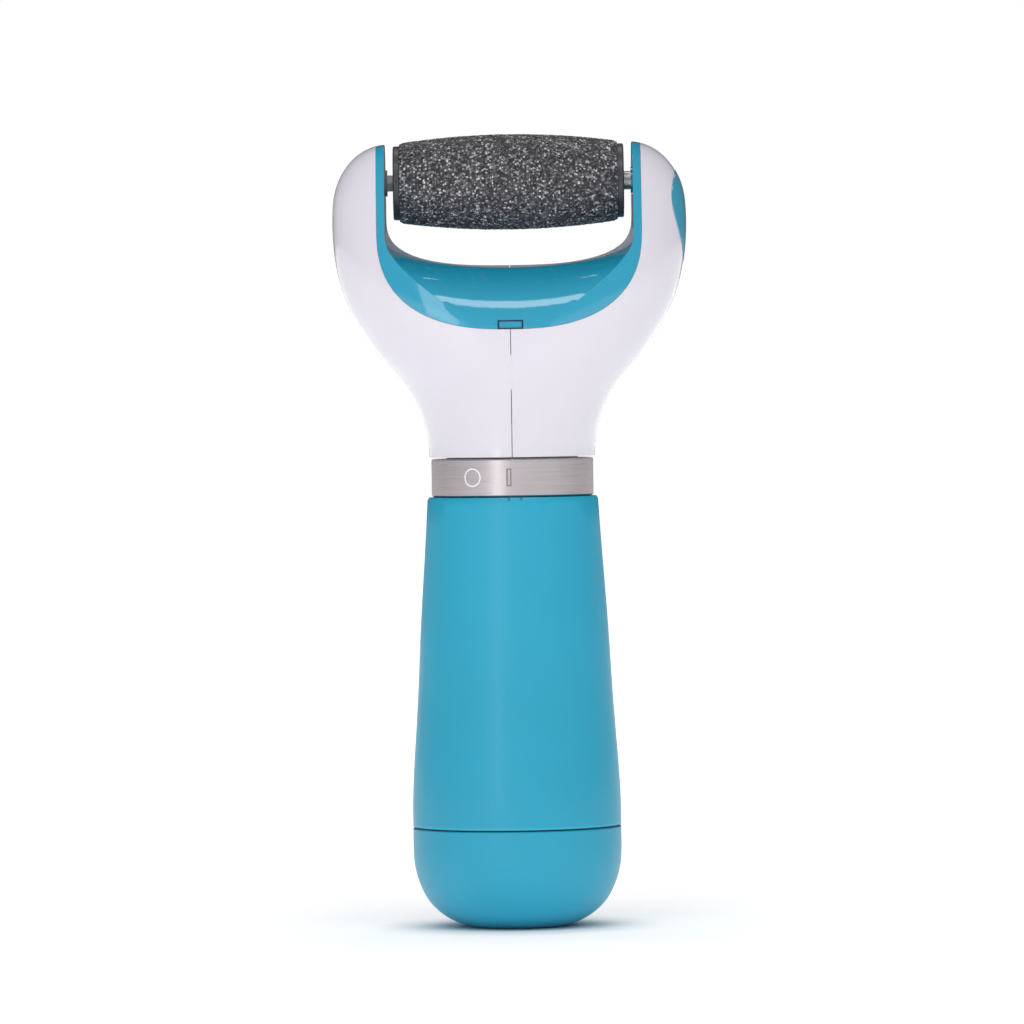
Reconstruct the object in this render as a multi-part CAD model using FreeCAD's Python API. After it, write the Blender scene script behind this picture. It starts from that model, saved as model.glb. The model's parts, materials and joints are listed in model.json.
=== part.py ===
import FreeCAD, Part

import math
import os

os.makedirs("parts", exist_ok=True)

# Electric callus remover, battery driven, standing on its base cap.
# Millimetres. Origin: centre of the base flat. X runs along the roller, -Y is the front, Z is up.

V = FreeCAD.Vector
X_AXIS = V(1, 0, 0)
Z_AXIS = V(0, 0, 1)
ORIGIN = V(0, 0, 0)

# Overall
WALL = 1.8                      # moulded wall thickness
GAP = 0.3                       # air between pieces that don't touch
SEAM = 0.06                     # half of the parting line between the head halves

# Heights
CAP_TOP = 20.7
HANDLE_TOP = 88.3
RING_BOTTOM = 88.45
RING_TOP = 96.2
HEAD_BOTTOM = 96.5
HEAD_TOP = 160.75
ROLLER_Z = 152.9

# Handle and cap: (radius, height) of the outer skin
HANDLE_SKIN = [(21.4, 20.75), (21.3, 28.0), (20.9, 35.0), (20.0, 48.0), (19.3, 61.2), (18.4, 74.4), (17.55, 87.7)]
CAP_SKIN = [(9.0, 0.0), (15.0, 2.3), (18.2, 5.3), (20.0, 8.6), (21.1, 12.4), (21.4, 17.0), (21.4, 20.3)]
BORE = 17.8                     # battery bay
SPIGOT_R = 18.95
SPIGOT_END = 11.0
CAP_BORE = 19.1

# Quick thread between handle and cap
LEAD = 32.0                     # cap drop for one full turn
LUG_Z = 14.6
LUG_R = 1.2
LUG_REACH = 20.1

# Head: half width, half depth and roundness of its oval sections below the shoulders
HEAD_SECTIONS = [
    (HEAD_BOTTOM, 17.0, 17.0, 2.0),
    (98.0, 17.05, 17.0, 2.0),
    (100.0, 17.25, 17.05, 2.02),
    (104.0, 18.2, 17.2, 2.08),
    (108.0, 19.8, 17.4, 2.15),
    (112.0, 22.4, 17.7, 2.25),
    (116.0, 25.8, 18.0, 2.35),
    (120.0, 28.7, 18.15, 2.42),
    (124.5, 31.6, 18.2, 2.47),
    (129.5, 33.9, 18.0, 2.5),
    (135.5, 35.5, 17.4, 2.5),
    (141.0, 36.15, 16.6, 2.5),
]
SHOULDER_X = 25.0               # centre of the elliptic shoulder
SHOULDER_Z = 147.0
SHOULDER_W = 11.2
SHOULDER_H = 13.8
ARM_DEPTH_LOW = 15.5            # half depth at the shoulder and at the very top
ARM_DEPTH_TOP = 12.6

# Opening between the arms
OPEN_W = 27.05                  # half width in the shells
OPEN_Z = 143.0                  # where its straight sides end
OPEN_DEPTH = 20.5
CHEEK_W = 25.35                 # half width between the blue cheeks
REAR_Y = 5.0                    # the rear rim starts here
REAR_Z = 146.0
REAR_DEPTH = 10.1
CREST_Z = 135.2
CREST_Y = -8.0
CREST_TURN = 32                 # where the saddle's elliptic profile starts, in degrees from its top
SADDLE_RUN = 21.6               # half axes of that ellipse, along Y and Z
SADDLE_RISE = 15.5

# Roller
ROLLER_R = 9.75
ROLLER_END_R = 8.15
SLEEVE_X = 22.35
CAP_R = 7.6
ROLLER_X = 23.65

# Gear train in the left arm: teeth and axis heights
MODULE = 0.5
OUTPUT_TEETH = 14
IDLER_TEETH = 24
SMALL_TEETH = 12
LARGE_TEETH = 28
PINION_TEETH = 10
IDLER_Z = ROLLER_Z - MODULE * (OUTPUT_TEETH + IDLER_TEETH) / 2
COMPOUND_Z = IDLER_Z - MODULE * (IDLER_TEETH + SMALL_TEETH) / 2
MOTOR_Z = COMPOUND_Z - MODULE * (LARGE_TEETH + PINION_TEETH) / 2

# Release in the right arm
PRESS = 1.5                     # button and plunger travel
BUTTON_Z = 145.45
BUTTON_H = 9.45                 # half height and half width of the button
BUTTON_W = 7.4
BUTTON_EGG = 0.22               # fuller at the top
ROCKER_X = 29.45
ROCKER_Z = 146.9
ROCKER_ARM = 6.0
ROCKER_TILT = math.degrees(math.asin(PRESS / 2 / ROCKER_ARM))

SCREWS = [(12.6, 109.2), (13.2, 129.2)]    # (y, z) of the screws through the head

# Batteries, four size AA
CELL_R = 7.25
CELL_PITCH = 7.3
CELL_BOTTOM = 8.0
CELL_TOP = 58.5


# ---------- general helpers ----------

def save(name, shape):
    """One STEP file per piece."""
    shape.exportStep("parts/" + name + ".step")
    print(name, len(shape.Solids), round(shape.Volume, 1), shape.isValid())


def rod_x(radius, x0, x1, y=0.0, z=0.0):
    """Round bar along X."""
    return Part.makeCylinder(radius, x1 - x0, V(x0, y, z), X_AXIS)


def rod_y(radius, y0, y1, x, z):
    """Round bar along Y."""
    return Part.makeCylinder(radius, y1 - y0, V(x, y0, z), V(0, 1, 0))


def rod_z(radius, z0, z1, x=0.0, y=0.0):
    """Round bar along Z."""
    return Part.makeCylinder(radius, z1 - z0, V(x, y, z0), Z_AXIS)


def tube_x(outer, inner, x0, x1, y=0.0, z=0.0):
    """Round tube along X."""
    return rod_x(outer, x0, x1, y, z).cut(rod_x(inner, x0 - 1, x1 + 1, y, z))


def tube_z(outer, inner, z0, z1, x=0.0, y=0.0):
    """Round tube along Z."""
    return rod_z(outer, z0, z1, x, y).cut(rod_z(inner, z0 - 1, z1 + 1, x, y))


def block(x0, x1, y0, y1, z0, z1):
    """Box between two corners."""
    return Part.makeBox(x1 - x0, y1 - y0, z1 - z0, V(x0, y0, z0))


def turned(points):
    """Solid turned about Z from (radius, height) corners."""
    corners = [V(r, 0, z) for r, z in points]
    face = Part.Face(Part.makePolygon(corners + corners[:1]))
    return face.revolve(ORIGIN, Z_AXIS, 360)


def smooth(points):
    """Smooth edge through points."""
    curve = Part.BSplineCurve()
    curve.interpolate(Points=points)
    return curve.toShape()


def turned_skin(skin, closing):
    """Solid turned about Z: a smooth skin of (radius, height) points, closed by straight corners."""
    edge = smooth([V(r, 0, z) for r, z in skin])
    corners = [V(r, 0, z) for r, z in [skin[-1]] + closing + [skin[0]]]
    lines = [Part.makeLine(a, b) for a, b in zip(corners, corners[1:])]
    return Part.Face(Part.Wire([edge] + lines)).revolve(ORIGIN, Z_AXIS, 360)


def fused(shapes):
    """One solid from several that touch or overlap."""
    return shapes[0].multiFuse(shapes[1:]).removeSplitter() if len(shapes) > 1 else shapes[0]


def power(value, exponent):
    """Signed power, used by the oval outlines."""
    return math.copysign(abs(value) ** exponent, value)


# ---------- head ----------

def oval(half_x, half_y, roundness, z):
    """Horizontal superellipse outline at one height."""
    ring = []
    for i in range(32):
        turn = 2 * math.pi * i / 32
        x = half_x * power(math.cos(turn), 2 / roundness)
        y = half_y * power(math.sin(turn), 2 / roundness)
        ring.append(V(x, y, z))
    curve = Part.BSplineCurve()
    curve.interpolate(Points=ring, PeriodicFlag=True)
    return Part.Wire(curve.toShape())


HEAD_FORMS = {}


def head_body(inset=0.0, drop=0.0):
    """The head's full outer form, or the same form set inwards by a wall."""
    if (inset, drop) not in HEAD_FORMS:
        HEAD_FORMS[(inset, drop)] = loft_head(inset, drop)
    return HEAD_FORMS[(inset, drop)]


def loft_head(inset, drop):
    """Loft through the head's oval sections."""
    sections = []
    for z, half_x, half_y, roundness in HEAD_SECTIONS:
        sections.append(oval(half_x - inset, half_y - inset, roundness, z - (drop if z == HEAD_BOTTOM else 0)))
    for angle in (0, 18, 34, 48, 61, 72, 81, 86):
        rise = math.sin(math.radians(angle))
        reach = math.cos(math.radians(angle))
        half_x = SHOULDER_X + (SHOULDER_W - inset) * reach
        half_y = ARM_DEPTH_LOW + (ARM_DEPTH_TOP - ARM_DEPTH_LOW) * rise - inset
        sections.append(oval(half_x, half_y, 2.5, SHOULDER_Z + (SHOULDER_H - inset) * rise))
    return Part.makeLoft(sections, True, False)


def u_outline(half_x, top_z, depth, roundness, y):
    """U outline in an XZ plane: straight sides above top_z and a round floor below."""
    wall = [V(half_x, y, top_z + rise) for rise in (4.0, 2.0)]
    floor = []
    for i in range(17):
        turn = math.pi * i / 16
        x = half_x * power(math.cos(turn), 2 / roundness)
        z = top_z - depth * abs(math.sin(turn)) ** (2 / roundness)
        floor.append(V(x, y, z))
    points = wall + floor + [V(-p.x, p.y, p.z) for p in wall[::-1]]
    curve = Part.BSplineCurve()
    curve.interpolate(Points=points)
    high = 175.0
    corners = [points[-1], V(-half_x, y, high), V(half_x, y, high), points[0]]
    lines = [Part.makeLine(a, b) for a, b in zip(corners, corners[1:])]
    return Part.Wire([curve.toShape()] + lines)


def u_prism(half_x, top_z, depth, roundness, y0, y1):
    """U outline drawn out along Y."""
    return Part.Face(u_outline(half_x, top_z, depth, roundness, y0)).extrude(V(0, y1 - y0, 0))


def cradle(grow=0.0):
    """Room above the saddle, in three lengths: its floor rolls forward and down from the crest."""
    first = math.radians(CREST_TURN)
    sections = []
    for angle in (CREST_TURN, 40, 48, 56, 64, 72, 79, 85):
        turn = math.radians(angle)
        floor = CREST_Z - SADDLE_RISE * (math.cos(first) - math.cos(turn)) - grow * math.cos(turn)
        y = CREST_Y - SADDLE_RUN * (math.sin(turn) - math.sin(first)) + grow * math.sin(turn)
        blend = (math.cos(first) - math.cos(turn)) / math.cos(first)
        top = 141.0 + 2.0 * blend
        sections.append((CHEEK_W + grow, top, top - floor, 2.0 + 0.5 * blend, y))
    front = Part.makeLoft([u_outline(*section) for section in sections[::-1]], True, False)
    half, top, drop, roundness, y = sections[-1]
    ahead = u_prism(half, top, drop, roundness, y - 8, y)
    half, top, drop, roundness, y = sections[0]
    behind = u_prism(half, top, drop, roundness, y, 30)
    return [front, ahead, behind]


def rear_rim(grow=0.0, y0=REAR_Y):
    """Opening through the back of the shells."""
    return u_prism(CHEEK_W + grow, REAR_Z, REAR_DEPTH + grow, 2.8, y0, 30)


def head_shells():
    """The two halves of the head, with the bosses each one carries."""
    outer = head_body()
    hollow = head_body(WALL, 1.0)
    hollow = hollow.cut(rear_rim(WALL + 0.5, REAR_Y - 0.05))
    skin = outer.cut(hollow)
    skin = skin.fuse(tube_z(16.0, 13.6, HEAD_BOTTOM, 98.2)).common(outer)
    catch = tube_z(15.8, 13.6, 100.9, 102.6)
    skin = skin.fuse(catch)
    closing = u_prism(OPEN_W - 0.04, OPEN_Z, OPEN_DEPTH - 0.04, 2.5, REAR_Y, REAR_Y + 1.5)
    skin = skin.fuse(closing.common(outer).common(block(-40, 40, 0, 20, 133.3, 170)))
    skin = skin.cut(rear_rim())
    skin = skin.cut(u_prism(OPEN_W, OPEN_Z, OPEN_DEPTH, 2.5, -30, REAR_Y))
    left = skin.common(block(-60, -SEAM, -40, 40, 90, 170))
    right = skin.common(block(SEAM, 60, -40, 40, 90, 170))
    left = add_gear_bosses(left, outer)
    right = right.cut(button_hole())
    for y, z in SCREWS:
        left = add_screw_boss(left, outer, y, z)
        right = add_screw_tunnel(right, outer, y, z)
    return left, right


def add_gear_bosses(shell, outer):
    """Bosses that hold the gear pins in the left shell."""
    for z, tip in ((IDLER_Z, -31.55), (COMPOUND_Z, -31.55), (ROLLER_Z, -31.55)):
        boss = rod_x(1.9, -37, tip, 0, z).common(outer)
        shell = shell.fuse(boss).cut(rod_x(0.75, -33.6, tip + 1, 0, z))
    shell = shell.cut(tube_x(4.3, 1.95, -31.45, -28, 0, ROLLER_Z))
    return shell.cut(rod_x(3.15, -29.4, -20, 0, MOTOR_Z))


def add_screw_boss(shell, outer, y, z):
    """Boss in the left shell that a screw bites into."""
    boss = rod_x(2.3, -12, -SEAM, y, z).common(outer)
    web = block(-12, -SEAM, y, y + 6, z - 0.6, z + 0.6).common(outer)
    return shell.fuse(boss).fuse(web).cut(rod_x(1.1, -10, 1, y, z))


def add_screw_tunnel(shell, outer, y, z):
    """Sunk screw seat in the right shell."""
    tunnel = rod_x(3.3, SEAM, 40, y, z).common(outer)
    shell = shell.fuse(tunnel).cut(rod_x(1.25, 0, 40, y, z))
    return shell.cut(rod_x(2.4, 4.0, 40, y, z))


def saddle_frame():
    """Blue insert: cheeks inside both arms joined by the saddle in front."""
    outer = head_body()
    fill = u_prism(OPEN_W - 0.04, OPEN_Z, OPEN_DEPTH - 0.04, 2.5, -30, REAR_Y - 0.05).common(outer)
    inner = head_body(WALL, 1.0)
    under = u_prism(CHEEK_W - 0.2, OPEN_Z, OPEN_DEPTH - WALL, 2.5, -30, REAR_Y - 1.9).common(inner)
    under = under.common(block(-23.6, 23.6, -30, 10, 100, 140))
    for room in cradle(WALL):
        under = under.cut(room)
    frame = fill
    for room in cradle():
        frame = frame.cut(room)
    frame = frame.cut(under)
    frame = frame.cut(motor_section(-21, 19, -0.45)).cut(block(-21, 19, -12.4, 8, 115, 126))
    frame = frame.cut(rod_x(2.85, -28, -24, 0, ROLLER_Z))
    frame = frame.cut(rod_x(2.75, 24, 28, 0, ROLLER_Z))
    return frame.cut(latch_notch())


def latch_notch():
    """Notch in the saddle's lower front edge."""
    return block(-2.6, 2.6, -19, -14.6, 121, 124.35)


def saddle_latch():
    """Snap tab of the saddle, seen at the bottom of the notch."""
    tab = block(-2.3, 2.3, -17.6, -14.9, 122.8, 124.1)
    hook = block(-1.8, 1.8, -16.1, -14.9, 119.4, 122.8)
    return tab.fuse(hook)


# ---------- roller ----------

def roller_sleeve():
    """Abrasive barrel with a bore."""
    top = smooth([V(x, 0, ROLLER_R - (ROLLER_R - ROLLER_END_R) * (x / SLEEVE_X) ** 2)
                  for x in (-SLEEVE_X, -15, -7.5, 0, 7.5, 15, SLEEVE_X)])
    corners = [V(SLEEVE_X, 0, ROLLER_END_R), V(SLEEVE_X, 0, 6.9), V(-SLEEVE_X, 0, 6.9), V(-SLEEVE_X, 0, ROLLER_END_R)]
    lines = [Part.makeLine(a, b) for a, b in zip(corners, corners[1:])]
    barrel = Part.Face(Part.Wire([top] + lines)).revolve(ORIGIN, X_AXIS, 360)
    barrel.translate(V(0, 0, ROLLER_Z))
    return barrel


def roller_core():
    """Plastic tube under the abrasive, with a web in the middle."""
    core = tube_x(6.88, 5.3, -SLEEVE_X, SLEEVE_X, 0, ROLLER_Z)
    web = rod_x(6.0, -1, 1, 0, ROLLER_Z)
    return core.fuse(web)


def roller_cap(side):
    """End cap: plug, flange with a raised rim, and a recess around the shaft."""
    flange = tube_x(CAP_R, 2.0, SLEEVE_X + 0.02, ROLLER_X, 0, ROLLER_Z)
    edge = [e for e in flange.Edges if abs(e.BoundBox.XMin - ROLLER_X) < 1e-6 and e.Length > 40]
    flange = flange.makeFillet(0.35, edge)
    dish = tube_x(6.7, 3.4, ROLLER_X - 0.25, ROLLER_X + 1, 0, ROLLER_Z)
    moat = tube_x(2.75, 2.2, ROLLER_X - 0.7, ROLLER_X + 1, 0, ROLLER_Z)
    plug = tube_x(5.27, 2.0, SLEEVE_X - 7, SLEEVE_X + 0.1, 0, ROLLER_Z)
    cap = flange.fuse(plug).cut(dish)
    if side < 0:
        cap = cap.cut(moat).mirror(ORIGIN, X_AXIS)
        return cap.cut(hex_bar(3.3, -30, -SLEEVE_X + 8))
    return cap.cut(rod_x(2.6, SLEEVE_X - 8, ROLLER_X - 0.35, 0, ROLLER_Z))


def hex_bar(across, x0, x1):
    """Hexagonal bar on the roller axis."""
    corner = across / math.sqrt(3)
    ring = [V(x0, corner * math.cos(math.pi * i / 3), ROLLER_Z + corner * math.sin(math.pi * i / 3)) for i in range(7)]
    return Part.Face(Part.makePolygon(ring)).extrude(V(x1 - x0, 0, 0))


def roller_stub():
    """White hexagonal drive stub with a rounded tip."""
    bar = hex_bar(3.28, -26.8, -16.2)
    nose = Part.makeCone(1.45, 2.4, 1.2, V(-26.8, 0, ROLLER_Z), X_AXIS)
    return bar.common(nose.fuse(rod_x(3, -25.6, -16, 0, ROLLER_Z)))


def roller_bush():
    """Plain bearing in the right cap."""
    return tube_x(2.58, 2.0, 17.3, ROLLER_X - 0.4, 0, ROLLER_Z)


# ---------- gear train and motor ----------

def gear(teeth, x0, x1, z, tooth_at, bore):
    """Spur gear about X with involute flanks; one tooth points along tooth_at degrees."""
    pitch = MODULE * teeth / 2
    pressure = math.radians(25)
    base = pitch * math.cos(pressure)
    root = pitch - 0.56
    tip = pitch + 0.36
    start = math.tan(pressure) - pressure
    half = (math.pi / 2 - 0.12 / MODULE) / teeth
    flank = []
    for i in range(5):
        radius = max(base, root) + (tip - max(base, root)) * i / 4
        lean = math.acos(min(1.0, base / radius))
        flank.append((radius, half + start - (math.tan(lean) - lean)))
    flank = [(root, flank[0][1] + 0.02)] + flank
    outline = []
    for k in range(teeth):
        middle = math.radians(tooth_at) + 2 * math.pi * k / teeth
        for radius, spread in flank:
            outline.append((radius, middle - spread))
        for radius, spread in reversed(flank):
            outline.append((radius, middle + spread))
    ring = [V(x0, r * math.cos(a), z + r * math.sin(a)) for r, a in outline]
    solid = Part.Face(Part.makePolygon(ring + ring[:1])).extrude(V(x1 - x0, 0, 0))
    return solid.cut(rod_x(bore, x0 - 1, x1 + 1, 0, z)) if bore else solid


def output_gear():
    """Roller drive: gear, hub through the cheek and hexagonal socket."""
    wheel = gear(OUTPUT_TEETH, -31.2, -29.3, ROLLER_Z, -90, 0)
    hub = rod_x(2.7, -29.3, -24.85, 0, ROLLER_Z)
    collar = rod_x(3.3, -29.3, -28.7, 0, ROLLER_Z)
    solid = fused([wheel, hub, collar]).cut(hex_bar(3.4, -27.4, -24))
    return solid.cut(rod_x(0.8, -32, -28.5, 0, ROLLER_Z))


def output_bearing():
    """Flanged bearing in the left cheek around the hub."""
    sleeve = tube_x(2.84, 2.75, -27.1, -25.35, 0, ROLLER_Z)
    flange = tube_x(3.9, 2.75, -28.3, -27.1, 0, ROLLER_Z)
    return sleeve.fuse(flange)


def gear_pins():
    """Steel pins under the idler, the compound gear and the output gear."""
    pins = [
        rod_x(0.74, -33.55, -28.4, 0, IDLER_Z),
        rod_x(0.74, -33.55, -27.3, 0, COMPOUND_Z),
        rod_x(0.74, -33.55, -28.9, 0, ROLLER_Z),
    ]
    return Part.makeCompound(pins)


def compound_gear():
    """Large wheel driven by the motor and small wheel that drives the idler."""
    large = gear(LARGE_TEETH, -29.0, -27.5, COMPOUND_Z, -90 + 180 / LARGE_TEETH, 0.8)
    small = gear(SMALL_TEETH, -31.2, -29.0, COMPOUND_Z, 90, 0.8)
    return fused([large, small])


def idler_gear():
    """Idler with a thinned web."""
    wheel = gear(IDLER_TEETH, -31.2, -29.3, IDLER_Z, -90 + 180 / IDLER_TEETH, 0.8)
    return wheel.cut(tube_x(4.6, 2.0, -32, -30.6, 0, IDLER_Z))


def motor_section(x0, x1, shrink=0.0):
    """Round motor with two flats."""
    drum = rod_x(10.05 - shrink, x0, x1, 0, MOTOR_Z)
    return drum.common(block(x0, x1, -11, 11, MOTOR_Z - 7.55 + shrink, MOTOR_Z + 7.55 - shrink))


def motor_can():
    """Steel can with a bearing boss."""
    can = motor_section(-17.0, 4.0).cut(motor_section(-16.2, 5.0, 0.8))
    boss = rod_x(3.05, -18.5, -16.2, 0, MOTOR_Z)
    return can.fuse(boss).cut(rod_x(1.05, -20, 0, 0, MOTOR_Z))


def motor_endcap():
    """Plastic end cap that carries the terminals."""
    plate = motor_section(4.0, 6.6, 0.1)
    boss = rod_x(4.0, 6.6, 8.4, 0, MOTOR_Z)
    return plate.fuse(boss).cut(rod_x(1.05, 3, 7.6, 0, MOTOR_Z))


def motor_terminals():
    """Two solder tags."""
    tags = [block(6.6, 9.6, s * 6.5 - 1.0, s * 6.5 + 1.0, MOTOR_Z - 0.2, MOTOR_Z + 0.2) for s in (-1, 1)]
    return Part.makeCompound(tags)


def motor_rotor():
    """Laminated armature on the shaft."""
    stack = rod_x(6.6, -12.5, 0.5, 0, MOTOR_Z)
    for k in range(3):
        turn = math.radians(90 + 120 * k)
        slot = block(-13, 1, -0.8, 0.8, 2.6, 8)
        slot.rotate(ORIGIN, X_AXIS, math.degrees(turn) - 90)
        slot.translate(V(0, 0, MOTOR_Z))
        stack = stack.cut(slot)
    commutator = rod_x(2.4, 0.5, 3.8, 0, MOTOR_Z)
    return stack.fuse(commutator).cut(rod_x(1.0, -14, 6, 0, MOTOR_Z))


def motor_cradle():
    """Cradle screwed over the neck that carries the motor."""
    floor = rod_z(13.2, 103.3, 105.3).cut(rod_z(5.5, 103, 106))
    ribs = []
    for x0 in (-13.5, 0.6):
        rib = block(x0, x0 + 2, -8.8, 8.8, 105.3, MOTOR_Z - 1.0)
        ribs.append(rib)
    lip = block(-10.5, 10.5, -9.4, -7.6, 105.3, 109)
    solid = fused([floor] + ribs + [lip])
    clearance = motor_section(-18, 6, -0.05)
    return solid.cut(clearance).common(head_body(WALL + 0.3, 1.0))


# ---------- release ----------

def button_outline(margin, x0, x1):
    """Upright egg shape on the side of the right arm, drawn out along X."""
    points = []
    for k in range(24):
        turn = 2 * math.pi * k / 24
        wide = (BUTTON_W + margin) * math.cos(turn) * (1 + BUTTON_EGG * math.sin(turn))
        points.append(V(x0, wide, BUTTON_Z + (BUTTON_H + margin) * math.sin(turn)))
    curve = Part.BSplineCurve()
    curve.interpolate(Points=points, PeriodicFlag=True)
    return Part.Face(Part.Wire(curve.toShape())).extrude(V(x1 - x0, 0, 0))


def button_hole():
    """Opening for the button in the right shell."""
    return button_outline(0.12, 29.0, 40.0)


def release_button():
    """Button skin that follows the arm and stands a little proud, with a skirt and a stem."""
    proud = head_body().copy()
    proud.translate(V(0.12, 0, 0))
    skin = button_outline(0.0, 30.9, 40.0).common(proud)
    skin = skin.cut(button_outline(-1.3, 29.0, 33.4))
    skin = skin.cut(block(29, 33.4, -12, 12, 149.0, 160))
    stem = rod_x(1.6, 31.2, 34.0, 0, ROCKER_Z - ROCKER_ARM)
    return skin.fuse(stem)


def release_rocker():
    """Forked lever that turns the button's push into the plunger's pull."""
    hub = rod_y(1.7, -2.9, 2.9, ROCKER_X, ROCKER_Z)
    up = block(ROCKER_X - 0.35, ROCKER_X + 0.35, 1.75, 2.9, ROCKER_Z, ROCKER_Z + ROCKER_ARM)
    up_two = block(ROCKER_X - 0.35, ROCKER_X + 0.35, -2.9, -1.75, ROCKER_Z, ROCKER_Z + ROCKER_ARM)
    tips = [rod_y(0.45, 1.3, 2.9, ROCKER_X, ROCKER_Z + ROCKER_ARM), rod_y(0.45, -2.9, -1.3, ROCKER_X, ROCKER_Z + ROCKER_ARM)]
    down = block(ROCKER_X - 0.5, ROCKER_X + 0.5, -1.6, 1.6, ROCKER_Z - ROCKER_ARM - 1.2, ROCKER_Z)
    pad = rod_y(0.7, -1.6, 1.6, ROCKER_X, ROCKER_Z - ROCKER_ARM)
    lever = fused([hub, up, up_two, down, pad] + tips)
    lever = lever.cut(rod_y(0.8, -4, 4, ROCKER_X, ROCKER_Z))
    lever.rotate(V(ROCKER_X, 0, ROCKER_Z), V(0, 1, 0), -ROCKER_TILT)
    return lever


def rocker_pin():
    """Pin the rocker turns on."""
    return rod_y(0.74, -5.6, 5.6, ROCKER_X, ROCKER_Z)


def rocker_block():
    """Pivot block behind the right cheek that holds the rocker pin."""
    ears = []
    for s in (-1, 1):
        y0, y1 = sorted((s * 3.2, s * 4.8))
        ears.append(block(27.12, 31.2, y0, y1, ROCKER_Z - 2.2, ROCKER_Z + 2.0))
    plate = block(27.12, 27.7, -4.8, 4.8, ROCKER_Z - 2.2, ROCKER_Z + 2.0)
    return fused(ears + [plate]).cut(rod_y(0.75, -6, 6, ROCKER_X, ROCKER_Z))


def bearing_plunger():
    """Sliding pin that carries the roller's right end."""
    tip = rod_x(1.93, 22.2, 27.35, 0, ROLLER_Z)
    edge = [e for e in tip.Edges if abs(e.BoundBox.XMax - 22.2) < 1e-6]
    tip = tip.makeChamfer(0.35, edge)
    front = rod_x(2.6, 27.35, 28.0, 0, ROLLER_Z)
    groove = rod_x(1.1, 28.0, 29.4, 0, ROLLER_Z)
    back = rod_x(2.4, 29.4, 29.95, 0, ROLLER_Z)
    return fused([tip, front, groove, back])


def plunger_bush():
    """Bearing sleeve in the right cheek."""
    return tube_x(2.74, 1.99, 25.1, 27.04, 0, ROLLER_Z)


def release_spring():
    """Coil spring between the plunger and the arm's wall."""
    helix = Part.makeHelix(0.75, 2.25, 2.0)
    helix.rotate(ORIGIN, V(0, 1, 0), 90)
    helix.translate(V(30.25, 0, ROLLER_Z))
    start = helix.Edges[0].valueAt(helix.Edges[0].FirstParameter)
    ahead = helix.Edges[0].tangentAt(helix.Edges[0].FirstParameter)
    circle = Part.Wire(Part.makeCircle(0.17, start, ahead))
    return Part.Wire(helix.Edges).makePipeShell([circle], True, True)


# ---------- neck and ring ----------

def neck_collar():
    """Tube that joins head and handle; the ring turns on it."""
    return turned([
        (11.2, 84.6), (15.4, 84.6), (15.4, 86.4), (13.5, 86.4), (13.5, 98.5), (15.0, 98.5), (15.0, 100.6),
        (13.4, 100.6), (13.4, 103.2), (11.2, 103.2),
    ])


def power_ring():
    """Metal switch ring with broken edges and a small index notch."""
    ring = turned([
        (15.6, RING_BOTTOM), (16.35, RING_BOTTOM), (16.62, RING_BOTTOM + 0.3), (16.62, RING_TOP - 0.3),
        (16.35, RING_TOP), (15.6, RING_TOP),
    ])
    ring = ring.cut(mark_at(0.0, block(-0.25, 0.25, -17, -16.2, RING_TOP - 0.45, RING_TOP + 1)))
    return ring.cut(mark_o()).cut(mark_i())


def mark_at(angle, shape):
    """Turns a shape made at the front to another place on the ring."""
    shape.rotate(ORIGIN, Z_AXIS, angle)
    return shape


MARK_Z = 92.4
MARK_O_ANGLE = -29.5
MARK_I_ANGLE = -2.5


def mark_o():
    """Off mark: a thin round outline sunk into the ring."""
    outer = Part.makeCylinder(1.9, 1.2, V(0, -17.0, MARK_Z), V(0, 1, 0))
    inner = Part.makeCylinder(1.62, 1.4, V(0, -17.1, MARK_Z), V(0, 1, 0))
    band = tube_z(16.62, 16.38, MARK_Z - 3, MARK_Z + 3)
    return mark_at(MARK_O_ANGLE, outer.cut(inner).common(band))


def mark_i():
    """On mark: a thin upright outline sunk into the ring."""
    bar = block(-0.5, 0.5, -17.2, -15.8, MARK_Z - 1.8, MARK_Z + 1.8)
    bar = bar.cut(block(-0.26, 0.26, -17.3, -15.7, MARK_Z - 1.56, MARK_Z + 1.56))
    band = tube_z(16.62, 16.38, MARK_Z - 3, MARK_Z + 3)
    return mark_at(MARK_I_ANGLE, bar.common(band))


def ring_carrier():
    """Plastic hub inside the ring with two detent notches."""
    hub = tube_z(15.59, 13.57, 91.0, 96.1)
    for angle in (0, -30):
        notch = mark_at(180 + angle, Part.makeCylinder(0.7, 5, V(0, -17, 90.75), V(0, 1, 0)))
        hub = hub.cut(notch)
    return hub


def arc_block(r0, r1, z0, z1, start, end):
    """Curved bar about Z between two angles measured from +X."""
    profile = Part.makePolygon([V(r0, 0, z0), V(r1, 0, z0), V(r1, 0, z1), V(r0, 0, z1), V(r0, 0, z0)])
    solid = Part.Face(profile).revolve(ORIGIN, Z_AXIS, end - start)
    solid.rotate(ORIGIN, Z_AXIS, start)
    return solid


def ring_wiper():
    """Sliding contact under the carrier."""
    back = arc_block(14.0, 15.2, 90.8, 90.98, 190, 242)
    legs = []
    for angle in (193, 215, 237):
        legs.append(arc_block(14.2, 15.0, 89.36, 90.8, angle, angle + 1.2))
        legs.append(arc_block(14.2, 15.0, 89.36, 89.52, angle - 1.5, angle + 2.7))
    return fused([back] + legs)


def switch_board():
    """Ring shaped circuit board on top of the handle, inside the ring's skirt."""
    return tube_z(15.4, 13.6, 88.35, 89.1)


def switch_pads():
    """Copper tracks the wiper runs over."""
    return Part.makeCompound([arc_block(14.1, 15.1, 89.1, 89.3, a, b) for a, b in ((186, 205), (209, 227), (231, 275))])


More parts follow.
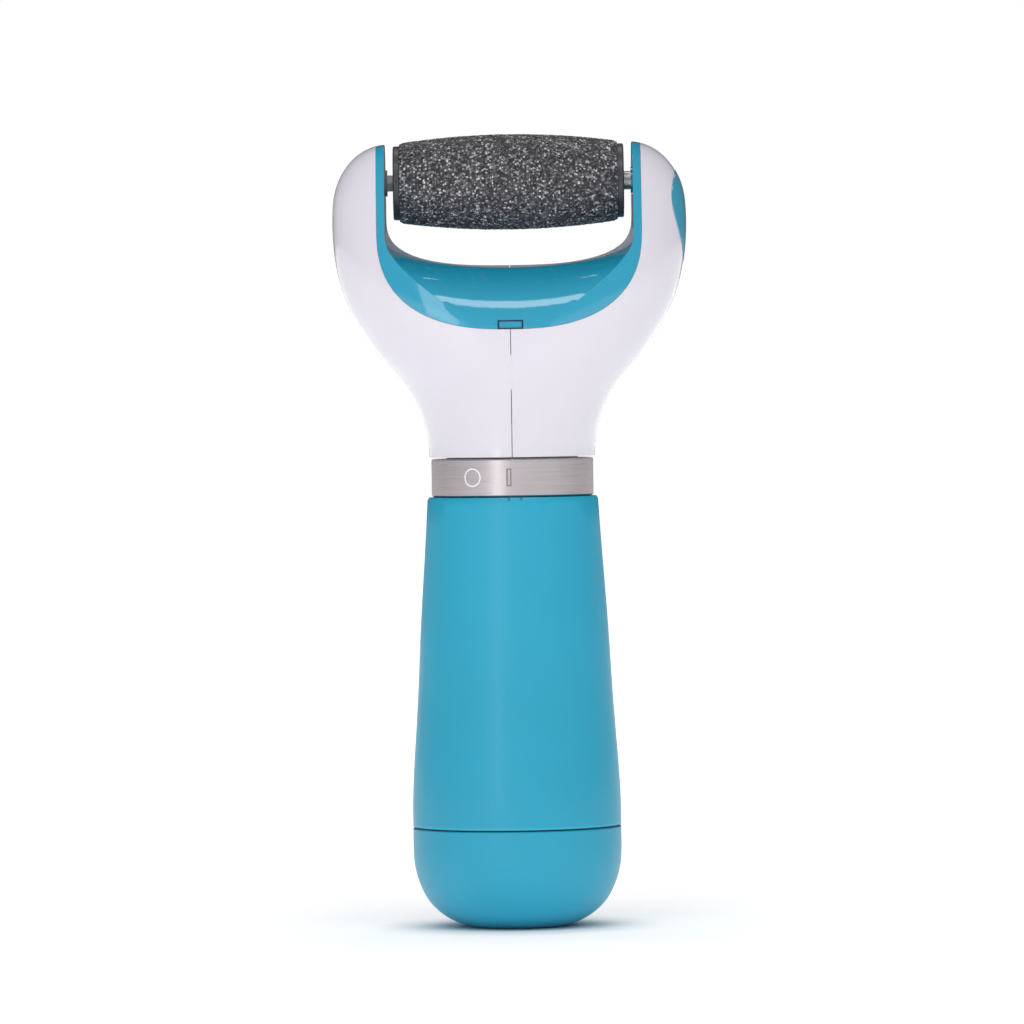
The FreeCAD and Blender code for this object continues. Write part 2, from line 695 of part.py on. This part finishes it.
def detent_spring():
    """Leaf whose hump sits in a notch of the carrier."""
    foot = arc_block(14.1, 15.1, 89.12, 89.3, 72, 108)
    hump = Part.makeCylinder(0.6, 1.0, V(0, 14.1, 90.8), V(0, 1, 0))
    post = block(-0.25, 0.25, 14.1, 15.1, 89.2, 90.6)
    return fused([foot, post, hump])


# ---------- handle ----------

def handle_shell():
    """Tapered tube with a battery bay, a spigot for the cap and a shelf under the ring."""
    body = turned_skin(HANDLE_SKIN, [(17.2, HANDLE_TOP), (0, HANDLE_TOP), (0, 20.75)])
    body = body.fuse(rod_z(SPIGOT_R, SPIGOT_END, 30))
    bay = turned([(0, 5), (BORE, 5), (BORE, 60.5), (15.9, 84.0), (15.6, 86.5), (0, 86.5)])
    body = body.cut(bay).cut(rod_z(13.52, 80, 95))
    body = body.cut(tube_z(SPIGOT_R + 1, SPIGOT_R - 0.75, 18.2, 19.7))
    for k in range(3):
        lug = Part.makeCylinder(LUG_R, LUG_REACH - 18.2, V(18.2, 0, LUG_Z), X_AXIS)
        lug = lug.cut(rod_z(BORE, 0, 40)).common(rod_z(LUG_REACH, 0, 40))
        lug.rotate(ORIGIN, Z_AXIS, 30 + 120 * k)
        body = body.fuse(lug)
    for x in (-0.8, 1.7):
        body = body.cut(block(x - 0.22, x + 0.22, -18.5, -16.9, HANDLE_TOP - 0.6, HANDLE_TOP + 1))
    return body


def cap_seal():
    """Rubber ring in the spigot's groove."""
    ring = Part.makeTorus(SPIGOT_R - 0.05 - 0.6, 0.62, V(0, 0, 18.95), Z_AXIS)
    return ring.common(tube_z(CAP_BORE - 0.05, SPIGOT_R - 0.74, 18, 20))


def cell(x, y, flip):
    """Size AA cell, positive end up unless flipped."""
    body = rod_z(CELL_R, CELL_BOTTOM, CELL_TOP - 1.0, x, y)
    rims = [e for e in body.Edges if e.Length > 40 and abs(e.BoundBox.ZLength) < 1e-6]
    body = body.makeFillet(0.4, rims)
    solid = body.fuse(rod_z(2.7, CELL_TOP - 1.2, CELL_TOP, x, y))
    if flip:
        middle = (CELL_BOTTOM + CELL_TOP) / 2
        solid = solid.mirror(V(0, 0, middle), Z_AXIS)
    return solid


def cell_divider():
    """Star shaped core between the cells with a top deck."""
    core = rod_z(5.4, 10, 60.2)
    for sx in (-1, 1):
        for sy in (-1, 1):
            core = core.cut(rod_z(CELL_R + 0.12, 5, 70, sx * CELL_PITCH, sy * CELL_PITCH))
    deck = rod_z(17.3, 60.6, 62.2).cut(rod_z(1.5, 50, 70))
    return core.fuse(rod_z(2.0, 60.0, 60.8)).fuse(deck)


def coil(x, y, z0, height, radius):
    """Battery spring of one and a half turns."""
    steps = 30
    sections = []
    for k in range(steps + 1):
        z = z0 + height * k / steps
        ring = []
        for corner in range(10):
            t = 2 * math.pi * corner / 10
            ring.append(V(radius + 0.28 * math.cos(t), 0, z + 0.28 * math.sin(t)))
        wire = Part.makePolygon(ring + ring[:1])
        wire.rotate(ORIGIN, Z_AXIS, 540 * k / steps)
        wire.translate(V(x, y, 0))
        sections.append(wire)
    return Part.makeLoft(sections, True, True)


def battery_springs(places, z0, height, radius):
    """The springs of one set of cells."""
    coils = [coil(sx * CELL_PITCH, sy * CELL_PITCH, z0, height, radius) for sx, sy in places]
    return Part.makeCompound(coils)


def top_contacts():
    """Contact strips under the deck, linking the cells in pairs."""
    strips = [block(-10.5, 10.5, s * CELL_PITCH - 2.6, s * CELL_PITCH + 2.6, 60.25, 60.55) for s in (-1, 1)]
    strips = [s.cut(rod_z(2.3, 55, 65)) for s in strips]
    return Part.makeCompound(strips)


# ---------- cap ----------

def base_cap():
    """Screw-off base with a soft outer curve, helical slots and a pivot boss."""
    skin = CAP_SKIN
    body = turned_skin(skin, [(21.1, CAP_TOP - 0.1), (0, CAP_TOP - 0.1), (0, 0)])
    room = turned([
        (0, 1.9), (10.5, 1.9), (14.6, 3.6), (17.0, 6.2), (CAP_BORE, 9.6), (CAP_BORE, 30), (0, 30),
    ])
    body = body.cut(room)
    boss = rod_z(3.9, 1.5, 3.8)
    body = body.fuse(boss).cut(rod_z(2.05, 1.1, 6))
    body = body.cut(cap_slots())
    return body


def cap_slots():
    """Three slots that climb to the rim on the lead of the quick thread."""
    slots = []
    half = LUG_R / math.cos(math.atan(LEAD / (2 * math.pi * CAP_BORE))) + 0.15
    for k in range(3):
        sections = []
        for step in range(-1, 9):
            climb = step * 1.0
            turn = 30 + 120 * k + 360 * climb / LEAD
            corners = [(18.4, -half), (LUG_REACH + 0.15, -half), (LUG_REACH + 0.15, half), (18.4, half)]
            ring = [V(r, 0, LUG_Z + climb + dz) for r, dz in corners]
            wire = Part.makePolygon(ring + ring[:1])
            wire.rotate(ORIGIN, Z_AXIS, turn)
            sections.append(wire)
        slots.append(Part.makeLoft(sections, True, False))
    return Part.makeCompound(slots)


def contact_carrier():
    """Disc inside the cap that stays still while the cap turns."""
    disc = rod_z(14.3, 4.1, 5.4)
    pivot = rod_z(2.0, 1.5, 4.2)
    return disc.fuse(pivot)


def cap_contacts():
    """Two contact bridges on the carrier."""
    bridges = [block(s * CELL_PITCH - 2.6, s * CELL_PITCH + 2.6, -10.2, 10.2, 5.4, 5.7) for s in (-1, 1)]
    return Part.makeCompound(bridges)


def head_screws():
    """Two screws that hold the head halves together."""
    screws = []
    for y, z in SCREWS:
        head = rod_x(2.1, 4.02, 5.7, y, z)
        cross = block(5.0, 6, y - 0.3, y + 0.3, z - 1.3, z + 1.3)
        cross = cross.fuse(block(5.0, 6, y - 1.3, y + 1.3, z - 0.3, z + 0.3))
        screws.append(head.fuse(rod_x(1.09, -8.0, 4.1, y, z)).cut(cross))
    return Part.makeCompound(screws)


def lead(points):
    """Insulated wire through points."""
    path = Part.Wire(smooth([V(*p) for p in points]))
    edge = path.Edges[0]
    circle = Part.Wire(Part.makeCircle(0.6, edge.valueAt(edge.FirstParameter), edge.tangentAt(edge.FirstParameter)))
    return path.makePipeShell([circle], True, True)


def build():
    """Makes and saves every piece."""
    left, right = head_shells()
    save("head_shell_left", left)
    save("head_shell_right", right)
    save("saddle_frame", saddle_frame())
    save("saddle_latch", saddle_latch())
    save("head_screws", head_screws())

    save("roller_sleeve", roller_sleeve())
    save("roller_core", roller_core())
    save("roller_cap_left", roller_cap(-1))
    save("roller_cap_right", roller_cap(1))
    save("roller_drive_stub", roller_stub())
    save("roller_bush", roller_bush())

    save("output_gear", output_gear())
    save("output_bearing", output_bearing())
    save("gear_pins", gear_pins())
    save("idler_gear", idler_gear())
    save("compound_gear", compound_gear())
    save("motor_pinion", gear(PINION_TEETH, -29.1, -27.3, MOTOR_Z, 90, 0.99))
    save("motor_shaft", rod_x(0.98, -29.3, 7.2, 0, MOTOR_Z))
    save("motor_rotor", motor_rotor())
    save("motor_can", motor_can())
    save("motor_endcap", motor_endcap())
    save("motor_terminals", motor_terminals())
    save("motor_cradle", motor_cradle())

    save("release_button", release_button())
    save("release_rocker", release_rocker())
    save("rocker_pin", rocker_pin())
    save("rocker_block", rocker_block())
    save("bearing_plunger", bearing_plunger())
    save("plunger_bush", plunger_bush())
    save("release_spring", release_spring())

    save("neck_collar", neck_collar())
    save("power_ring", power_ring())
    save("ring_mark_off", mark_o())
    save("ring_mark_on", mark_i())
    save("ring_carrier", ring_carrier())
    save("ring_wiper", ring_wiper())
    save("switch_board", switch_board())
    save("switch_pads", switch_pads())
    save("detent_spring", detent_spring())

    save("handle_shell", handle_shell())
    save("cap_seal", cap_seal())
    flips = {(-1, -1): False, (1, -1): True, (1, 1): False, (-1, 1): True}
    for number, (place, flip) in enumerate(flips.items(), 1):
        save("cell_" + str(number), cell(place[0] * CELL_PITCH, place[1] * CELL_PITCH, flip))
    save("cell_divider", cell_divider())
    save("top_contacts", top_contacts())
    downs = [place for place, flip in flips.items() if not flip]
    ups = [place for place, flip in flips.items() if flip]
    save("top_springs", battery_springs(ups, 58.85, 1.1, 3.0))
    save("cap_springs", battery_springs(downs, 6.0, 1.6, 3.6))
    save("cap_contacts", cap_contacts())
    save("contact_carrier", contact_carrier())
    save("base_cap", base_cap())
    for name, s in (("motor_lead_red", 1), ("motor_lead_black", -1)):
        save(name, lead([(4, s * 2, 62.6), (4, s * 2, 84), (4, s * 2, 104), (8, s * 5, 114.5), (9.2, s * 6.5, 124.6)]))


build()
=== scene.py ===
import json
import math
import random

import bmesh
import bpy
from mathutils import Matrix, Vector, noise


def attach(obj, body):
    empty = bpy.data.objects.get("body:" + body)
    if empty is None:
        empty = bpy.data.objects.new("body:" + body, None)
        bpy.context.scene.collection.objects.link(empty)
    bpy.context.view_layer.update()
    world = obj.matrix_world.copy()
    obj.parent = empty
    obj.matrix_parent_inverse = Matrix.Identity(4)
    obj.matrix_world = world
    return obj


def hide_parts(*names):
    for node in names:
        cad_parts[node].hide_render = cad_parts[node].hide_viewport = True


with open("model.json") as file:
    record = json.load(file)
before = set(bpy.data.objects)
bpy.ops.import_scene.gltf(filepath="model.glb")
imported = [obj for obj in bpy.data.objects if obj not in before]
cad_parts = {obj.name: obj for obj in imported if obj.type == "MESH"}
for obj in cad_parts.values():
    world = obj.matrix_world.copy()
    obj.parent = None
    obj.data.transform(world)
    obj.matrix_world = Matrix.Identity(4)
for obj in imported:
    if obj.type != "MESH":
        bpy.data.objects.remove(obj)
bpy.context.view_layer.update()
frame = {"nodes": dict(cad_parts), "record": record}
NODES = frame["nodes"]

MM = 0.001

# the cap's parting line on the handle, in metres
PARTING_Z = 0.0207

# a dry cell's sleeve, bottom and top, in metres
CELL_BOTTOM, CELL_TOP = 0.008, 0.0585

# roller barrel, in millimetres: BARREL_TAPER is how much smaller its ends are in radius,
# BARREL_END how far the grit thins out before an end, STONE the size of one grain
BARREL_HALF = 22.35
BARREL_AXIS_Z = 152.9
BARREL_RADIUS = 9.72
BARREL_TAPER = 1.6
BARREL_BORE = 6.9
BARREL_END = 0.8
STONE = 0.46

# CAD vertices closer than this are welded, and edges sharper than this stay sharp
WELD_DISTANCE = 0.000002
SHARP_ANGLE = math.radians(28)

# camera, in metres
LENS = 261.8
CAMERA_PLACE = (-0.0002, -1.53, 0.1101)
CAMERA_TARGET = (-0.0002, 0.0, 0.0851)
CAMERA_ROLL = math.radians(0.8)

FLOOR_HALF = 6.0
WHITE = (1, 1, 1, 1)


# ---------- node helpers ----------

class Shader:
    """Small wrapper that builds one material's node tree."""

    def __init__(self, name):
        self.material = bpy.data.materials.new(name)
        self.material.use_nodes = True
        self.tree = self.material.node_tree
        self.nodes = self.tree.nodes
        self.bsdf = self.nodes["Principled BSDF"]
        self.coords = self.nodes.new("ShaderNodeTexCoord")

    def set(self, **values):
        """Sets inputs of the main shader by name."""
        for key, value in values.items():
            self.bsdf.inputs[key.replace("_", " ")].default_value = value

    def link(self, source, socket):
        """Feeds a socket, or an input of the main shader by name."""
        target = self.bsdf.inputs[socket] if isinstance(socket, str) else socket
        self.tree.links.new(source, target)

    def node(self, kind, **values):
        """New node with some of its inputs set."""
        made = self.nodes.new(kind)
        for key, value in values.items():
            made.inputs[key.replace("_", " ")].default_value = value
        return made

    def height_between(self, low, high):
        """0 to 1 as object height goes from low to high."""
        split = self.nodes.new("ShaderNodeSeparateXYZ")
        self.tree.links.new(self.coords.outputs["Object"], split.inputs["Vector"])
        level = self.node("ShaderNodeMapRange", From_Min=low, From_Max=high)
        self.tree.links.new(split.outputs["Z"], level.inputs["Value"])
        return level.outputs["Result"]

    def noise(self, scale, detail=4.0, roughness=0.55, stretch=None):
        """Noise in object space; stretch squeezes the space along each axis."""
        made = self.node("ShaderNodeTexNoise", Scale=scale, Detail=detail, Roughness=roughness)
        source = self.coords.outputs["Object"]
        if stretch:
            mapping = self.nodes.new("ShaderNodeMapping")
            mapping.inputs["Scale"].default_value = stretch
            self.tree.links.new(source, mapping.inputs["Vector"])
            source = mapping.outputs["Vector"]
        self.tree.links.new(source, made.inputs["Vector"])
        return made.outputs["Fac"]

    def ramp(self, source, stops):
        """Colour ramp through (position, colour or grey) stops."""
        made = self.nodes.new("ShaderNodeValToRGB")
        band = made.color_ramp
        while len(band.elements) < len(stops):
            band.elements.new(0.5)
        for element, (place, colour) in zip(band.elements, stops):
            element.position = place
            element.color = colour if isinstance(colour, tuple) else (colour, colour, colour, 1)
        self.tree.links.new(source, made.inputs["Fac"])
        return made.outputs["Color"]

    def mix(self, a, b, fac, mode="MIX"):
        """Mix of two colours or sockets."""
        made = self.nodes.new("ShaderNodeMix")
        made.data_type = "RGBA"
        made.blend_type = mode
        for socket, value in ((made.inputs[6], a), (made.inputs[7], b), (made.inputs[0], fac)):
            if isinstance(value, bpy.types.NodeSocket):
                self.tree.links.new(value, socket)
            else:
                socket.default_value = value
        return made.outputs[2]

    def bump(self, height, strength, distance, normal=None):
        """Bump from a height, laid over another normal if one is given."""
        made = self.node("ShaderNodeBump", Strength=strength, Distance=distance)
        self.tree.links.new(height, made.inputs["Height"])
        if normal is not None:
            self.tree.links.new(normal, made.inputs["Normal"])
        self.link(made.outputs["Normal"], "Normal")

    def soft_edges(self, radius):
        """Rounds the shading over sharp edges."""
        made = self.nodes.new("ShaderNodeBevel")
        made.samples = 6
        made.inputs["Radius"].default_value = radius
        self.link(made.outputs["Normal"], "Normal")
        return made.outputs["Normal"]


def shades(colour, low, high):
    """A darker and a lighter version of one colour."""
    dark = tuple(c * low for c in colour) + (1,)
    light = tuple(min(1, c * high) for c in colour) + (1,)
    return dark, light


def plastic(name, colour, rough, coat=0.0, grain=0.0, edge=0.00018, sub=0.0, groove=0.0):
    """Moulded plastic: faint colour drift, uneven gloss, very fine surface grain, rounded edges.

    groove is the height of the cap's parting seam: painted shade in a narrow band along it and a
    painted highlight just above it.
    """
    s = Shader(name)
    drift = s.noise(28, 3)
    dark, light = shades(colour, 0.96, 1.04)
    base = s.ramp(drift, [(0.3, dark), (0.7, light)])
    s.link(base, "Base Color")
    sheen = s.noise(160, 5, stretch=(1, 1, 0.6))
    s.link(s.ramp(sheen, [(0.3, max(rough - 0.03, 0.02)), (0.75, rough + 0.035)]), "Roughness")
    s.set(Specular_IOR_Level=0.5, Coat_Weight=coat, Coat_Roughness=0.04)
    if sub:
        s.set(Subsurface_Weight=sub, Subsurface_Radius=(0.002, 0.002, 0.002), Subsurface_Scale=1.0)
    if groove:
        # painted shade along the parting groove and a painted highlight on its upper edge;
        # elsewhere the colour is scaled to 0.8 so the highlight can be brighter
        groove_shade, plain, lip_highlight = 0.22, 0.8, 1.0
        stops = [(0.0, plain), (0.38, plain), (0.46, groove_shade), (0.56, groove_shade),
                 (0.6, lip_highlight), (0.72, lip_highlight), (0.8, plain)]
        shade = s.ramp(s.height_between(groove - MM, groove + MM), stops)
        s.link(s.mix(base, shade, 1.0, "MULTIPLY"), "Base Color")
    rounded = s.soft_edges(edge)
    if grain:
        s.bump(s.noise(2600, 2), grain, 0.03 * MM, rounded)
    else:
        s.bump(s.noise(420, 2), 0.04, 0.04 * MM, rounded)
    return s.material


def metal(name, colour, rough, streak=(1, 1, 1), depth=0.2, scale=900):
    """Metal with brushed or turned streaks along one direction."""
    s = Shader(name)
    grain = s.noise(scale, 4, 0.65, streak)
    broad = s.noise(60, 3)
    dark, light = shades(colour, 0.86, 1.08)
    fine = s.ramp(grain, [(0.3, dark), (0.7, light)])
    wide = s.ramp(broad, [(0.2, dark), (0.8, light)])
    s.link(s.mix(fine, wide, 0.35), "Base Color")
    s.link(s.ramp(grain, [(0.2, max(rough - 0.08, 0.03)), (0.8, rough + 0.1)]), "Roughness")
    s.set(Metallic=1.0)
    s.bump(grain, depth, 0.04 * MM, s.soft_edges(0.12 * MM))
    return s.material


def srgb(r, g, b):
    """Display colour, 0 to 255 and above 10 in every channel, as linear light."""
    return tuple(((c / 255 + 0.055) / 1.055) ** 2.4 for c in (r, g, b))


MATERIALS = {
    "shell_white": plastic("Housing white", srgb(226, 222, 232), 0.16, coat=0.35, sub=0.06),
    "blue_handle": plastic("Handle blue", srgb(34, 184, 220), 0.42, coat=0.08, grain=0.03,
                           groove=PARTING_Z),
    "blue_gloss": plastic("Saddle blue", srgb(20, 156, 190), 0.10, coat=0.8),
    "blue_button": plastic("Button blue", srgb(60, 156, 186), 0.2, coat=0.5),
    "black_plastic": plastic("Black plastic", srgb(62, 62, 67), 0.38, grain=0.05),
    "white_plastic": plastic("White plastic", srgb(232, 232, 228), 0.35, grain=0.04, sub=0.05),
    "grey_plastic": plastic("Grey plastic", srgb(140, 142, 146), 0.42, grain=0.05),
    "gear_plastic": plastic("Gear plastic", srgb(228, 222, 200), 0.36, grain=0.04, sub=0.05),
    "mark_off": plastic("White inlay", srgb(248, 248, 250), 0.4, edge=0.00003),
    "mark_on": plastic("Grey inlay", srgb(128, 120, 126), 0.4, edge=0.00003),
    "board": plastic("Solder mask", srgb(26, 96, 52), 0.3, coat=0.2),
    "rubber_black": plastic("Rubber", srgb(34, 34, 35), 0.65, grain=0.1),
    "wire_red": plastic("Red insulation", srgb(178, 30, 24), 0.35),
    "wire_black": plastic("Black insulation", srgb(28, 28, 28), 0.35),
    "ring_metal": metal("Ring metal", srgb(198, 190, 193), 0.3, (0.05, 0.05, 2.0), 0.15, 1400),
    "steel": metal("Ground steel", srgb(206, 208, 210), 0.42, (0.2, 1, 1), 0.12),
    "motor_steel": metal("Plated can", srgb(190, 190, 188), 0.32, (0.1, 1, 1), 0.1, 500),
    "spring_steel": metal("Spring wire", srgb(205, 205, 206), 0.2),
    "contact_metal": metal("Contact metal", srgb(212, 186, 120), 0.28),
    "copper": metal("Copper track", srgb(198, 122, 84), 0.3),
}


def grit_material():
    """Dark mineral grit: every grain has its own grey, a few are bright facets, and painted shade
    darkens each grain towards its edges.
    """
    s = Shader("Abrasive grit")
    cells = s.node("ShaderNodeTexVoronoi", Scale=2500.0, Randomness=1.0)
    s.tree.links.new(s.coords.outputs["Object"], cells.inputs["Vector"])
    pick = s.nodes.new("ShaderNodeSeparateColor")
    s.tree.links.new(cells.outputs["Color"], pick.inputs["Color"])
    greys = [(0.0, srgb(30, 29, 32)), (0.4, srgb(66, 64, 69)), (0.68, srgb(104, 102, 107)),
             (0.86, srgb(150, 148, 153)), (0.975, srgb(216, 215, 220))]
    base = s.ramp(pick.outputs["Red"], [(place, grey + (1,)) for place, grey in greys])
    # painted shade: each grain darkens towards its edges, as shade in the crevices between grains
    crevice_shade = s.ramp(cells.outputs["Distance"], [(0.25, 1.0), (0.75, 0.35)])
    s.link(s.mix(base, crevice_shade, 1.0, "MULTIPLY"), "Base Color")
    s.link(s.ramp(pick.outputs["Green"], [(0.0, 0.3), (0.5, 0.55), (1.0, 0.8)]), "Roughness")
    s.set(Specular_IOR_Level=0.5)
    s.bump(pick.outputs["Blue"], 0.5, 0.12 * MM)
    return s.material


MATERIALS["abrasive"] = grit_material()


def cell_material():
    """Printed sleeve of a dry cell: dark body, copper band and bare steel ends."""
    s = Shader("Cell sleeve")
    height = s.height_between(CELL_BOTTOM, CELL_TOP)
    steel, dark, copper = (0.62, 0.62, 0.63, 1), (0.025, 0.028, 0.035, 1), (0.55, 0.28, 0.14, 1)
    bands = [(0.0, steel), (0.02, dark), (0.28, copper), (0.30, dark),
             (0.72, copper), (0.74, dark), (0.965, steel)]
    colour = s.ramp(height, bands)
    metalness = s.ramp(height, [(0.0, 1.0), (0.02, 0.0), (0.965, 1.0)])
    for socket in (colour, metalness):
        socket.node.color_ramp.interpolation = "CONSTANT"
    wear = s.ramp(s.noise(90, 3), [(0.3, 0.85), (0.7, 1.0)])
    s.link(s.mix(colour, wear, 1.0, "MULTIPLY"), "Base Color")
    s.link(metalness, "Metallic")
    s.link(s.ramp(s.noise(300, 3), [(0.3, 0.2), (0.7, 0.3)]), "Roughness")
    s.set(Coat_Weight=0.3)
    s.soft_edges(0.2 * MM)
    return s.material


MATERIALS["cell_jacket"] = cell_material()


# ---------- geometry helpers ----------

def smooth_group():
    """Geometry nodes that weld a CAD mesh and keep only real edges sharp."""
    group = bpy.data.node_groups.new("Weld and smooth", "GeometryNodeTree")
    group.interface.new_socket("Geometry", in_out="INPUT", socket_type="NodeSocketGeometry")
    group.interface.new_socket("Geometry", in_out="OUTPUT", socket_type="NodeSocketGeometry")
    start = group.nodes.new("NodeGroupInput")
    end = group.nodes.new("NodeGroupOutput")
    weld = group.nodes.new("GeometryNodeMergeByDistance")
    weld.inputs["Distance"].default_value = WELD_DISTANCE
    faces = group.nodes.new("GeometryNodeSetShadeSmooth")
    faces.domain = "FACE"
    edges = group.nodes.new("GeometryNodeSetShadeSmooth")
    edges.domain = "EDGE"
    angle = group.nodes.new("GeometryNodeInputMeshEdgeAngle")
    limit = group.nodes.new("FunctionNodeCompare")
    limit.data_type = "FLOAT"
    limit.operation = "GREATER_THAN"
    limit.inputs["B"].default_value = SHARP_ANGLE
    link = group.links.new
    link(start.outputs[0], weld.inputs["Geometry"])
    link(weld.outputs["Geometry"], faces.inputs["Geometry"])
    faces.inputs["Shade Smooth"].default_value = True
    link(faces.outputs["Geometry"], edges.inputs["Geometry"])
    link(angle.outputs["Unsigned Angle"], limit.inputs["A"])
    link(limit.outputs["Result"], edges.inputs["Selection"])
    edges.inputs["Shade Smooth"].default_value = False
    link(edges.outputs["Geometry"], end.inputs[0])
    return group


SMOOTH = smooth_group()


def dress(node, slot):
    """Gives a CAD node its material and smooth shading."""
    obj = NODES[node]
    obj.data.materials.clear()
    obj.data.materials.append(MATERIALS[slot])
    for poly in obj.data.polygons:
        poly.material_index = 0
    modifier = obj.modifiers.new("Smooth", "NODES")
    modifier.node_group = SMOOTH


for part in frame["record"]["subparts"]:
    dress(part["node"], part["material_slot"])


# ---------- pieces with their own geometry ----------

def new_object(name, mesh, slot, body, *stands_for):
    """Puts a mesh in the scene as a piece that rides a CAD body in place of CAD nodes."""
    obj = bpy.data.objects.new(name, mesh)
    bpy.context.scene.collection.objects.link(obj)
    mesh.materials.append(MATERIALS[slot])
    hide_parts(*stands_for)
    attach(obj, body)


def abrasive_sleeve():
    """Barrel covered in mineral grit: every grain is a small bump in the mesh."""
    rows, columns = 236, 330
    half, axis_z = BARREL_HALF, BARREL_AXIS_Z
    grains = random.Random(11)
    points, faces = [], []
    for i in range(rows):
        x = -half + 2 * half * i / (rows - 1)
        base = BARREL_RADIUS - BARREL_TAPER * (x / half) ** 2
        near_end = min(1.0, (half - abs(x)) / BARREL_END)
        for j in range(columns):
            turn = 2 * math.pi * (j + 0.5 * (i % 2)) / columns
            place = Vector((x, base * math.cos(turn), base * math.sin(turn)))
            near = noise.voronoi(place / STONE)[0]
            clump = noise.noise(place * 1.1) * 0.05 + noise.noise(place * 4.1) * 0.06
            stone = 0.16 * (1 - 1.5 * near[0]) + 0.05 * grains.random()
            lift = (stone - 0.05 + clump) * near_end - 0.18 * (1 - near_end)
            radius = base + lift
            points.append((x * MM, radius * math.cos(turn) * MM,
                           (axis_z + radius * math.sin(turn)) * MM))
    for i in range(rows - 1):
        for j in range(columns):
            k = (j + 1) % columns
            a, b = i * columns + j, i * columns + k
            c, d = a + columns, b + columns
            if i % 2:
                faces += [(a, c, d), (a, d, b)]
            else:
                faces += [(a, c, b), (b, c, d)]
    for end, row in ((-half, 0), (half, rows - 1)):
        start = len(points)
        for j in range(columns):
            turn = 2 * math.pi * j / columns
            points.append((end * MM, BARREL_BORE * math.cos(turn) * MM,
                           (axis_z + BARREL_BORE * math.sin(turn)) * MM))
        for j in range(columns):
            k = (j + 1) % columns
            quad = (row * columns + j, row * columns + k, start + k, start + j)
            faces.append(quad if end < 0 else quad[::-1])
    mesh = bpy.data.meshes.new("abrasive_sleeve")
    mesh.from_pydata(points, [], faces)
    mesh.validate()
    bm = bmesh.new()
    bm.from_mesh(mesh)
    bmesh.ops.recalc_face_normals(bm, faces=bm.faces)
    bm.to_mesh(mesh)
    bm.free()
    new_object("abrasive_sleeve", mesh, "abrasive", "roller", "roller_sleeve")


abrasive_sleeve()


# ---------- camera, light, floor ----------

def camera():
    """Long lens at the front, a little above mid height, with a slight roll."""
    data = bpy.data.cameras.new("Camera")
    data.sensor_width = 36.0
    data.lens = LENS
    data.clip_start = 0.05
    data.clip_end = 30.0
    obj = bpy.data.objects.new("Camera", data)
    bpy.context.scene.collection.objects.link(obj)
    place = Vector(CAMERA_PLACE)
    ahead = (Vector(CAMERA_TARGET) - place).normalized()
    base = ahead.to_track_quat("-Z", "Y").to_matrix().to_4x4()
    obj.matrix_world = Matrix.Translation(place) @ base @ Matrix.Rotation(-CAMERA_ROLL, 4, "Z")
    bpy.context.scene.camera = obj


def area(name, place, aim, size, power):
    """Soft white rectangular light."""
    data = bpy.data.lights.new(name, "AREA")
    data.shape = "RECTANGLE"
    data.size, data.size_y = size
    data.energy = power
    obj = bpy.data.objects.new(name, data)
    bpy.context.scene.collection.objects.link(obj)
    obj.location = place
    obj.rotation_euler = (Vector(aim) - Vector(place)).to_track_quat("-Z", "Y").to_euler()


def floor():
    """Pale plane under the object that glows as painted light: dim close to it, a painted contact
    shadow, and brighter further out.
    """
    mesh = bpy.data.meshes.new("Floor")
    near, far = -FLOOR_HALF, FLOOR_HALF
    corners = [(near, near, 0), (far, near, 0), (far, far, 0), (near, far, 0)]
    mesh.from_pydata(corners, [], [(0, 1, 2, 3)])
    obj = bpy.data.objects.new("Floor", mesh)
    bpy.context.scene.collection.objects.link(obj)
    s = Shader("Floor white")
    s.link(s.ramp(s.noise(3, 2), [(0.3, 0.93), (0.7, 0.96)]), "Base Color")
    s.set(Roughness=0.9, Specular_IOR_Level=0.1, Emission_Color=WHITE)
    reach = s.nodes.new("ShaderNodeVectorMath")
    reach.operation = "LENGTH"
    s.tree.links.new(s.coords.outputs["Object"], reach.inputs[0])
    # painted light: emission that grows with distance from the object, none right around it so a
    # painted contact shadow shows there
    painted_glow = [(0.012, 0.0), (0.03, 0.4), (0.12, 0.56), (0.9, 0.85)]
    s.link(s.ramp(reach.outputs["Value"], painted_glow), "Emission Strength")
    mesh.materials.append(s.material)


def surroundings():
    """White studio: brightest towards the front, dimmer at the sides and behind the object."""
    world = bpy.data.worlds.new("World")
    world.use_nodes = True
    tree = world.node_tree
    link = tree.links.new
    coords = tree.nodes.new("ShaderNodeTexCoord")
    split = tree.nodes.new("ShaderNodeSeparateXYZ")
    link(coords.outputs["Generated"], split.inputs["Vector"])
    shade = tree.nodes.new("ShaderNodeMapRange")
    shade.interpolation_type = "SMOOTHSTEP"
    ranges = {"From Min": 0.5, "From Max": -0.95, "To Min": 0.12, "To Max": 0.62}
    for name, value in ranges.items():
        shade.inputs[name].default_value = value
    link(split.outputs["Y"], shade.inputs["Value"])
    light = tree.nodes["Background"]
    light.inputs["Color"].default_value = (0.97, 0.98, 1, 1)
    link(shade.outputs["Result"], light.inputs["Strength"])
    white = tree.nodes.new("ShaderNodeBackground")
    white.inputs["Color"].default_value = WHITE
    white.inputs["Strength"].default_value = 1.0
    path = tree.nodes.new("ShaderNodeLightPath")
    mix = tree.nodes.new("ShaderNodeMixShader")
    link(path.outputs["Is Camera Ray"], mix.inputs["Fac"])
    link(light.outputs["Background"], mix.inputs[1])
    link(white.outputs["Background"], mix.inputs[2])
    link(mix.outputs["Shader"], tree.nodes["World Output"].inputs["Surface"])
    bpy.context.scene.world = world


camera()
floor()
area("Key", (-0.58, -1.5, 0.35), (0, 0, 0.09), (0.4, 0.9), 2.0)
area("Softbox", (0, -0.72, 1.17), (0, 0, 0.13), (1.2, 0.3), 4.0)
area("Top", (0, 0.42, 1.3), (0, 0, 0.15), (0.9, 0.4), 3.2)
surroundings()
bpy.context.scene.view_settings.view_transform = "Standard"
